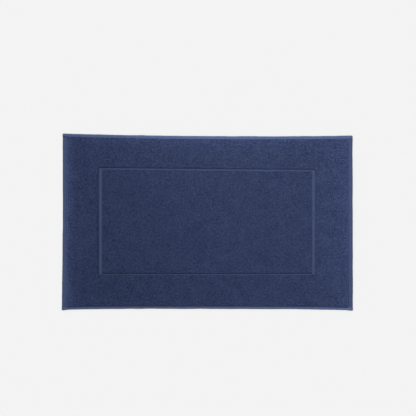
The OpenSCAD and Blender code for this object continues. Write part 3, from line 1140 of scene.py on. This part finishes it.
def hem_map(rings):
    """A flat place for every point of a hem: along it, and round its section."""
    around = np.linalg.norm(np.diff(rings[:, :, 1:], axis=1), axis=2)
    around = np.concatenate([np.zeros((len(rings), 1)), np.cumsum(around, axis=1)], axis=1)
    return np.stack([rings[:, :, 0], around], axis=2).reshape(-1, 2)


def lay_hem(name, rings, across, side, node, painted_side_light):
    """A hem from its rings, at the lower (-1) or upper (1) side across an axis. Its last argument
    is how much of its colour is painted paler, as painted light."""
    points = rings.copy()
    points[:, :, 1 - across] = rings[:, :, 0]
    points[:, :, across] = side * (SIZES.half[across] - rings[:, :, 1])
    made = new_object(name, points.reshape(-1, 3), ring_faces(*rings.shape[:2]), hem_map(rings))
    face_outwards(made)
    set_value(made, "painted_side_light", painted_side_light)
    place(made, weave_material(), [node])


def lay_end_hem(name, side, node, slope, painted_side_light):
    """Hem of an end of the mat. side is -1 for the left and 1 for the right."""
    width = SIZES.hem_w[0]
    seam = width - SEAM_IN
    step = bpy.context.scene.mat_sewing.stitch / 3
    half = SIZES.end_hem_half
    stations = np.linspace(-half, half, int(2 * half / step) + 1)
    stitched = np.ones(len(stations))
    section = hem_section(width, seam)
    rings = hem_rings(section, seam, stations, END_HEM_SEED + side, stitched, slope)
    lay_hem(name, rings, 0, side, node, painted_side_light)


def corner_block(width):
    """Outline of the stack of folds at a corner: closed on its inner side, and rounded outside."""
    low, top = SIZES.hem_low, SIZES.corner_top
    middle, reach = (low + top) / 2, (top - low) / 2
    block = [(width, top - 0.5 * MM), (width - 0.6 * MM, top - 0.05 * MM),
             (width * 0.72, top + 0.1 * MM), (width * 0.5, top)]
    block += [(reach * (1 - math.cos(a)) if abs(a) < math.pi / 2 else reach * 1.2,
               middle + reach * math.sin(a)) for a in np.radians(np.linspace(100, -100, 15))]
    return np.array(block + [(width * 0.6, low), (width * 0.85, low), (width, low + 0.4 * MM)])


def lay_side_hem(name, side, node, slope, painted_side_light):
    """Hem of a long side. It runs through to the corners, where it is folded over the end hems.
    side is -1 for the front and 1 for the rear."""
    width, end_width = SIZES.hem_w[1], SIZES.hem_w[0]
    seam = width - SEAM_IN
    step = bpy.context.scene.mat_sewing.stitch / 3
    half = SIZES.half[0]
    tip, thickening, lump = 4 * MM, (2 * MM, 4 * MM), 5 * MM
    lump_height, thinnest_tip, tip_pull = 0.35 * MM, 0.12, 3 * MM
    fine = np.linspace(half - end_width - tip, half - tip, 17)
    finer = half - tip * (1 - np.sin(np.linspace(0, math.pi / 2, 9)))[1:]
    run = half - end_width - tip
    straight = np.linspace(-run, run, int(2 * run / step) + 1)
    stations = np.concatenate([-finer[::-1], -fine[:0:-1], straight, fine[1:], finer])
    out = np.abs(stations)
    in_corner = smooth_step(np.clip((out - run - thickening[0]) / thickening[1], 0, 1))
    section = hem_section(width, seam)
    rings = hem_rings(section, seam, stations, SIDE_HEM_SEED + side, 1 - in_corner, slope)
    block = resample(corner_block(width), len(section))
    rings[:, :, 1:] += in_corner[:, None, None] * (block - section)
    middle = (SIZES.hem_low + SIZES.corner_top) / 2
    lumps = smooth_noise(2 * half, lump, CORNER_SEED + side, len(stations))
    rings[:, :, 2] += (lump_height * lumps * in_corner)[:, None] * (rings[:, :, 2] > middle)
    # The stack is rounded at its end too: it grows thin there, and its outer side draws in
    past = np.clip((out - (half - tip)) / tip, 0, 1)
    shrink = np.sqrt(np.maximum(1 - past ** 2, 0.0))
    flat = thinnest_tip + (1 - thinnest_tip) * shrink
    rings[:, :, 2] = middle + (rings[:, :, 2] - middle) * flat[:, None]
    pull = tip_pull * (1 - shrink)
    rings[:, :, 1] += pull[:, None] * np.clip(1 - rings[:, :, 1] / width, 0, 1)
    lay_hem(name, rings, 1, side, node, painted_side_light)


def resample(outline, count):
    """count points evenly along an open outline."""
    steps = np.linalg.norm(np.diff(outline, axis=0), axis=1)
    travelled = np.concatenate([[0], np.cumsum(steps)])
    at = np.linspace(0, travelled[-1], count)
    return np.stack([np.interp(at, travelled, outline[:, i]) for i in (0, 1)], axis=1)


def lay_band(name, low, high, along, painted_side_light):
    """A flat-woven band of the frame, ribbed with cords that run along it on both faces."""
    weave = bpy.context.scene.mat_weave
    across = 1 - along
    width = high[across] - low[across]
    cords = max(2, round(width / weave.cord_pitch))
    per_cord, step, skin, lowest_cord = 4, 4 * MM, 0.02 * MM, 0.8
    lines = [None, None]
    lines[across] = np.linspace(low[across], high[across], cords * per_cord + 1)
    lines[along] = grid_lines([low[along], high[along]], step)
    place_in = (lines[across] - low[across]) / width * cords
    ridge = np.abs(np.sin(math.pi * place_in))
    # Each band takes its seed from its own width, in hundredths of a millimetre
    rng = np.random.default_rng(round(width * 1e5))
    wave = rng.uniform(lowest_cord, 1.0, len(lines[along]))
    rise = np.outer(ridge, wave) if across == 0 else np.outer(wave, ridge)
    proud = SIZES.rib_top - SIZES.cloth_top
    high_z = SIZES.cloth_top + skin + proud * rise
    low_z = SIZES.cloth_low - skin - proud * rise
    keep = np.ones((len(lines[0]) - 1, len(lines[1]) - 1), dtype=bool)
    made = slab(name, *lines, keep, low_z, high_z)
    set_value(made, "painted_side_light", painted_side_light)
    place(made, weave_material(), ["ground_cloth"])


def lay_stitches(name, centres, headings, node, seed):
    """One stitch of thread on every centre. A heading is the stitch's turn about X, Y and Z."""
    sewing = bpy.context.scene.mat_sewing
    base = bpy.data.meshes.new(name + "_seed")
    base.from_pydata(np.asarray(centres).tolist(), [], [])
    dip_share = 0.7
    turn = base.attributes.new("heading", "FLOAT_VECTOR", "POINT")
    turn.data.foreach_set("vector", np.asarray(headings, dtype=np.float32).ravel())
    made = apply_tree(name, stitch_tree(), base, {
        "Stitch": sewing.stitch, "Thread": sewing.thread, "Dip": sewing.thread * dip_share,
        "Wander": sewing.wander, "Seed": seed, "Material": thread_material()})
    place(made, thread_material(), [node])


def run_of_stitches(low, high, axis, upper):
    """Centres and headings of the stitches of the seam that fills the box from low to high."""
    sewing = bpy.context.scene.mat_sewing
    length = high[axis] - low[axis]
    count = round(length / sewing.stitch)
    middle = (low + high) / 2
    centres = np.repeat(middle[None, :], count, axis=0)
    centres[:, axis] = middle[axis] + (np.arange(count) - (count - 1) / 2) * sewing.stitch
    radius = sewing.thread / 2
    centres[:, 2] = high[2] - radius if upper else low[2] + radius
    headings = np.zeros((count, 3))
    headings[:, 0] = 0 if upper else math.pi
    headings[:, 2] = math.pi / 2 if axis == 1 else 0
    return centres, headings


# Operators -----------------------------------------------------------------------------------

class MatPiece:
    """What every operator of the mat shares."""

    bl_options = {"REGISTER", "UNDO"}

    def execute(self, context):
        self.build(context.scene)
        return {"FINISHED"}


class MAT_OT_frame_bands(MatPiece, bpy.types.Operator):
    """Weave the four pile-free bands of the frame"""

    bl_idname = "bath_mat.frame_bands"
    bl_label = "Frame bands"

    def build(self, scene):
        outer, inner = SIZES.frame, SIZES.panel
        # The last number of each band is painted light: how much paler it is painted
        for name, side, painted_side_light in (("band_left", -1, 0.2), ("band_right", 1, 0.0)):
            xs = sorted((side * outer[0], side * inner[0]))
            lay_band(name, (xs[0], -outer[1]), (xs[1], outer[1]), 1, painted_side_light)
        for name, side, painted_side_light in (("band_front", -1, 0.35), ("band_rear", 1, 0.05)):
            ys = sorted((side * outer[1], side * inner[1]))
            lay_band(name, (-inner[0], ys[0]), (inner[0], ys[1]), 0, painted_side_light)


class MAT_OT_pile_feet(MatPiece, bpy.types.Operator):
    """Pack the feet of the loops on both sides of the cloth"""

    bl_idname = "bath_mat.pile_feet"
    bl_label = "Packed feet of the pile"

    def build(self, scene):
        share = scene.mat_pile.feet
        rise = (SIZES.pile_top - SIZES.cloth_top) * share
        drop = (SIZES.pile_low - SIZES.cloth_low) * share
        clearance = 0.5 * MM
        gap = (SIZES.label_low[:2] - clearance, SIZES.label_high[:2] + clearance)
        outer, inner, panel = SIZES.pile, SIZES.frame, SIZES.panel
        lay_feet("border_feet_top", outer, inner, SIZES.cloth_top, rise, None, "border_pile_top")
        lay_feet("centre_feet_top", panel, None, SIZES.cloth_top, rise, None, "centre_pile_top")
        lay_feet("border_feet_under", outer, inner, SIZES.cloth_low, drop, gap, "border_pile_under")
        lay_feet("centre_feet_under", panel, None, SIZES.cloth_low, drop, None, "centre_pile_under")


class MatLoops(MatPiece):
    """Loops of one side of the mat, in tiles that stay light enough to handle."""

    def tiles(self):
        """Name, lowest corner, highest corner and node of each tile of loops."""
        # The rows of crowded loops along the edges stand in this inset
        inset = 1.4 * MM
        outer, inner, panel = SIZES.pile - inset, SIZES.frame + inset, SIZES.panel - inset
        for part, low, high in (
                ("left", (-outer[0], -outer[1]), (-inner[0], outer[1])),
                ("right", (inner[0], -outer[1]), (outer[0], outer[1])),
                ("front", (-inner[0], -outer[1]), (inner[0], -inner[1])),
                ("rear", (-inner[0], inner[1]), (inner[0], outer[1]))):
            yield f"border_loops_{self.side}_{part}", low, high, f"border_pile_{self.side}"
        cuts = np.linspace(-panel[0], panel[0], self.centre_tiles + 1)
        for number, (start, end) in enumerate(zip(cuts[:-1], cuts[1:]), 1):
            name = f"centre_loops_{self.side}_{number}"
            yield name, (start, -panel[1]), (end, panel[1]), f"centre_pile_{self.side}"

    def build(self, scene):
        for number, (name, low, high, node) in enumerate(self.tiles()):
            lay_loops(name, low, high, self.side, node, number + self.first)
        # How far the loops bulge over each edge, in millimetres: left, right, front and rear. The
        # bulge also sets how much painted shade those loops get
        round_pile, round_frame, round_panel = (
            ((0, 0), (1.2, 0)), ((1.3, 0.6), (0.7, 1.3)), ((0, 0), (2.0, 0)))
        for area, rows, number in (
                ("border", ((SIZES.pile, 0, round_pile), (SIZES.frame, 1, round_frame)), 8),
                ("centre", ((SIZES.panel, 0, round_panel),), 9)):
            lay_edge_loops(f"{area}_edge_loops_{self.side}", rows, self.side,
                           f"{area}_pile_{self.side}", self.first + number)


class MAT_OT_top_loops(MatLoops, bpy.types.Operator):
    """Stand the loops of the upper side on the cloth"""

    bl_idname = "bath_mat.top_loops"
    bl_label = "Loops of the upper side"
    side = "top"
    centre_tiles = 3
    first = 0


class MAT_OT_under_loops(MatLoops, bpy.types.Operator):
    """Hang the loops of the underside from the cloth"""

    bl_idname = "bath_mat.under_loops"
    bl_label = "Loops of the underside"
    side = "under"
    centre_tiles = 2
    first = 20


class MAT_OT_hems(MatPiece, bpy.types.Operator):
    """Turn the four hems, the long ones last and over the short ones"""

    bl_idname = "bath_mat.hems"
    bl_label = "Turned hems"

    def build(self, scene):
        # The last number of each hem is painted light: how much paler it is painted
        for lay, part, side, degrees, painted_side_light in (
                (lay_end_hem, "left", -1, 6, 0.2), (lay_end_hem, "right", 1, -3, 0.0),
                (lay_side_hem, "front", -1, -4, 0.62), (lay_side_hem, "rear", 1, 10, 0.42)):
            lay(f"turned_hem_{part}", side, f"hem_{part}", math.radians(degrees), painted_side_light)


class MAT_OT_seams(MatPiece, bpy.types.Operator):
    """Sew the four hem seams with their needle and bobbin threads"""

    bl_idname = "bath_mat.seams"
    bl_label = "Hem seams"

    def build(self, scene):
        for seed, side in enumerate(("left", "right", "front", "rear"), SEAM_SEED):
            axis = 1 if side in ("left", "right") else 0
            for thread in ("needle", "bobbin"):
                node = f"{thread}_thread_{side}"
                centres, headings = run_of_stitches(*node_box(node), axis, thread == "needle")
                lay_stitches(f"{thread}_stitches_{side}", centres, headings, node, seed)


class MAT_OT_back_tacks(MatPiece, bpy.types.Operator):
    """Sew the reverse stitches that hold the folded corners"""

    bl_idname = "bath_mat.back_tacks"
    bl_label = "Corner back-tacks"

    def build(self, scene):
        sewing = scene.mat_sewing
        radius = sewing.thread / 2
        middle_x = SIZES.half[0] - SIZES.hem_w[0] / 2
        seam_y = SIZES.half[1] - (SIZES.hem_w[1] - SEAM_IN)
        row_pitch = 1 * MM
        low, high = node_box("corner_back_tacks")
        centres, headings = [], []
        faces = (high[2] - radius, 0), (low[2] + radius, math.pi)
        for (z, turn), side_x, side_y, row, place_in in itertools.product(
                faces, (-1, 1), (-1, 1), (0, 1), (-1, 0, 1)):
            x = side_x * middle_x + place_in * sewing.stitch
            centres.append((x, side_y * (seam_y + row * row_pitch), z))
            headings.append((turn, 0, 0))
        lay_stitches("corner_tack_stitches", centres, headings, "corner_back_tacks", TACK_SEED)


class MAT_OT_care_label(MatPiece, bpy.types.Operator):
    """Fold the blank care label that is caught in the right-hand hem"""

    bl_idname = "bath_mat.care_label"
    bl_label = "Care label"

    def build(self, scene):
        low, high = SIZES.label_low, SIZES.label_high
        thick = 0.12 * MM
        root_x = high[0] - 0.15 * MM
        floor_z = low[2] + 0.02 * MM
        # The folded ribbon's section: from its root in the hem along its upper half to its fold,
        # back along the lower half, and then round the slit between the two halves
        upper = [(root_x + thick / 2, SIZES.cloth_low), (root_x + thick / 2, 1.6 * MM),
                 (root_x - 0.3 * MM, 0.75 * MM), (root_x - 1.2 * MM, 0.36 * MM),
                 (root_x - 4 * MM, 0.3 * MM), (root_x - 12 * MM, 0.29 * MM),
                 (low[0] + 8 * MM, 0.29 * MM), (low[0] + 1.0 * MM, 0.3 * MM),
                 (low[0] + 0.25 * MM, 0.28 * MM), (low[0], 0.16 * MM)]
        lower = [(low[0] + 0.25 * MM, floor_z), (low[0] + 1.0 * MM, floor_z),
                 (low[0] + 8 * MM, floor_z), (root_x - 12 * MM, floor_z),
                 (root_x - 4 * MM, floor_z), (root_x - 1.2 * MM, 0.06 * MM),
                 (root_x - 0.1 * MM, 0.4 * MM), (root_x + 0.35 * MM, 1.4 * MM),
                 (root_x + 0.35 * MM, SIZES.cloth_low)]
        lining = [(root_x + 0.22 * MM, SIZES.cloth_low), (root_x + 0.22 * MM, 1.45 * MM),
                  (root_x - 0.15 * MM, 0.55 * MM), (root_x - 1.2 * MM, 0.2 * MM),
                  (root_x - 4 * MM, 0.15 * MM), (low[0] + 1.0 * MM, 0.15 * MM),
                  (root_x - 4 * MM, 0.17 * MM), (root_x - 1.2 * MM, 0.24 * MM),
                  (root_x - 0.2 * MM, 0.62 * MM), (root_x + 0.17 * MM, 1.5 * MM),
                  (root_x + 0.17 * MM, SIZES.cloth_low)]
        section = np.array(upper + lower + lining)
        rows = 12
        stations = np.linspace(low[1], high[1], rows)
        rings = np.zeros((len(stations), len(section), 3))
        rings[:, :, 0] = stations[:, None]
        rings[:, :, 1:] = section
        uv = hem_map(rings)[:, ::-1]
        points = rings[:, :, (1, 0, 2)].reshape(-1, 3)
        made = new_object("folded_care_label", points, ring_faces(len(stations), len(section)), uv)
        face_outwards(made)
        place(made, ribbon_material(), ["care_label"])


class MAT_OT_ground_cloth(MatPiece, bpy.types.Operator):
    bl_idname = "bath_mat.ground_cloth"
    bl_label = "Ground cloth"

    def build(self, scene):
        reach = SIZES.half - SIZES.hem_w - HEM_JOIN
        step = 10 * MM
        xs = grid_lines([-reach[0], reach[0]], step)
        ys = grid_lines([-reach[1], reach[1]], step)
        keep = np.ones((len(xs) - 1, len(ys) - 1), dtype=bool)
        made = slab("woven_ground", xs, ys, keep, SIZES.cloth_low, SIZES.cloth_top)
        place(made, weave_material(), ["ground_cloth"])


class MAT_OT_stage(MatPiece, bpy.types.Operator):
    """Set up the floor, the lights and the camera"""

    bl_idname = "bath_mat.stage"
    bl_label = "Studio"

    def build(self, scene):
        studio = scene.mat_studio
        reach, seen_sky = 12.0, 0.9
        floor = new_object("studio_floor", [(-reach, -reach, 0), (reach, -reach, 0),
                                            (reach, reach, 0), (-reach, reach, 0)], [(0, 1, 2, 3)])
        floor.data.materials.append(floor_material())
        floor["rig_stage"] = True
        mat_group = bpy.data.collections.new("lit_mat")
        floor_group = bpy.data.collections.new("lit_floor")
        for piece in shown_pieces():
            mat_group.objects.link(piece)
        floor_group.objects.link(floor)
        world = bpy.data.worlds.new("soft_room")
        world.use_nodes = True
        world.node_tree.nodes.clear()
        room = add(world.node_tree, "ShaderNodeBackground", {"Strength": studio.sky})
        wall = add(world.node_tree, "ShaderNodeBackground", {"Strength": seen_sky})
        seen = add(world.node_tree, "ShaderNodeLightPath").outputs["Is Camera Ray"]
        both = add(world.node_tree, "ShaderNodeMixShader", {
            0: seen, 1: room.outputs[0], 2: wall.outputs[0]})
        add(world.node_tree, "ShaderNodeOutputWorld", {"Surface": both.outputs[0]})
        for back in (room, wall):
            back.inputs["Color"].default_value = linear("#FFFFFF")
        scene.world = world
        self.lamp("key_light", "SUN", studio.key, (-2.1, 1.5, 1.15), mat_group, degrees=14)
        self.lamp("fill_light", "AREA", studio.fill, (1.1, 0.2, 1.2), mat_group, size=0.9)
        self.lamp("rear_light", "AREA", studio.rear, (0.0, 0.65, 0.3), mat_group, size=0.4)
        self.lamp("sweep_light", "SUN", studio.sweep, (0.0, 0.2, 3.0), floor_group, degrees=60)
        data = bpy.data.cameras.new("overhead_camera")
        data.lens = studio.lens
        camera = bpy.data.objects.new("overhead_camera", data)
        far = studio.frame_width * studio.lens / data.sensor_width
        camera.location = (studio.frame_x, studio.frame_y, far + SIZES.top / 2)
        scene.collection.objects.link(camera)
        scene.camera = camera
        scene.view_settings.view_transform = "Standard"
        scene.view_settings.look = "None"

    def lamp(self, name, kind, strength, place_at, lights_only, degrees=0.0, size=0.0):
        """A light that points at the middle of the mat and lights only one collection. A sun is
        degrees wide, and any other light has a size in metres."""
        data = bpy.data.lights.new(name, kind)
        data.energy = strength
        if kind == "SUN":
            data.angle = math.radians(degrees)
        else:
            data.size = size
        light = bpy.data.objects.new(name, data)
        light.location = place_at
        aim = -light.location
        light.rotation_euler = aim.to_track_quat("-Z", "Y").to_euler()
        light.visible_camera = False
        light.light_linking.receiver_collection = lights_only
        bpy.context.scene.collection.objects.link(light)


OPERATORS = (
    MAT_OT_frame_bands,
    MAT_OT_pile_feet,
    MAT_OT_top_loops,
    MAT_OT_under_loops,
    MAT_OT_hems,
    MAT_OT_seams,
    MAT_OT_back_tacks,
    MAT_OT_care_label,
    MAT_OT_ground_cloth,
    MAT_OT_stage,
)


class MAT_PT_builder(bpy.types.Panel):
    """Builds the bath mat piece by piece"""

    bl_idname = "MAT_PT_builder"
    bl_label = "Bath mat"
    bl_space_type = "VIEW_3D"
    bl_region_type = "UI"
    bl_category = "Bath mat"

    def draw(self, context):
        for group, kind in GROUPS.items():
            box = self.layout.box()
            box.label(text=kind.__doc__)
            for name in kind.__annotations__:
                box.prop(getattr(context.scene, group), name)
        for operator in OPERATORS:
            self.layout.operator(operator.bl_idname)


def register():
    """Adds the panel, its operators and its settings."""
    for kind in (*GROUPS.values(), *OPERATORS, MAT_PT_builder):
        bpy.utils.register_class(kind)
    for name, kind in GROUPS.items():
        setattr(bpy.types.Scene, name, PointerProperty(type=kind))


def unregister():
    """Takes away everything that register adds."""
    for name in GROUPS:
        delattr(bpy.types.Scene, name)
    for kind in reversed((*GROUPS.values(), *OPERATORS, MAT_PT_builder)):
        bpy.utils.unregister_class(kind)


def main():
    """Builds every piece and the studio."""
    register()
    for operator in OPERATORS:
        group, name = operator.bl_idname.split(".")
        getattr(getattr(bpy.ops, group), name)()


if __name__ == "__main__":
    main()
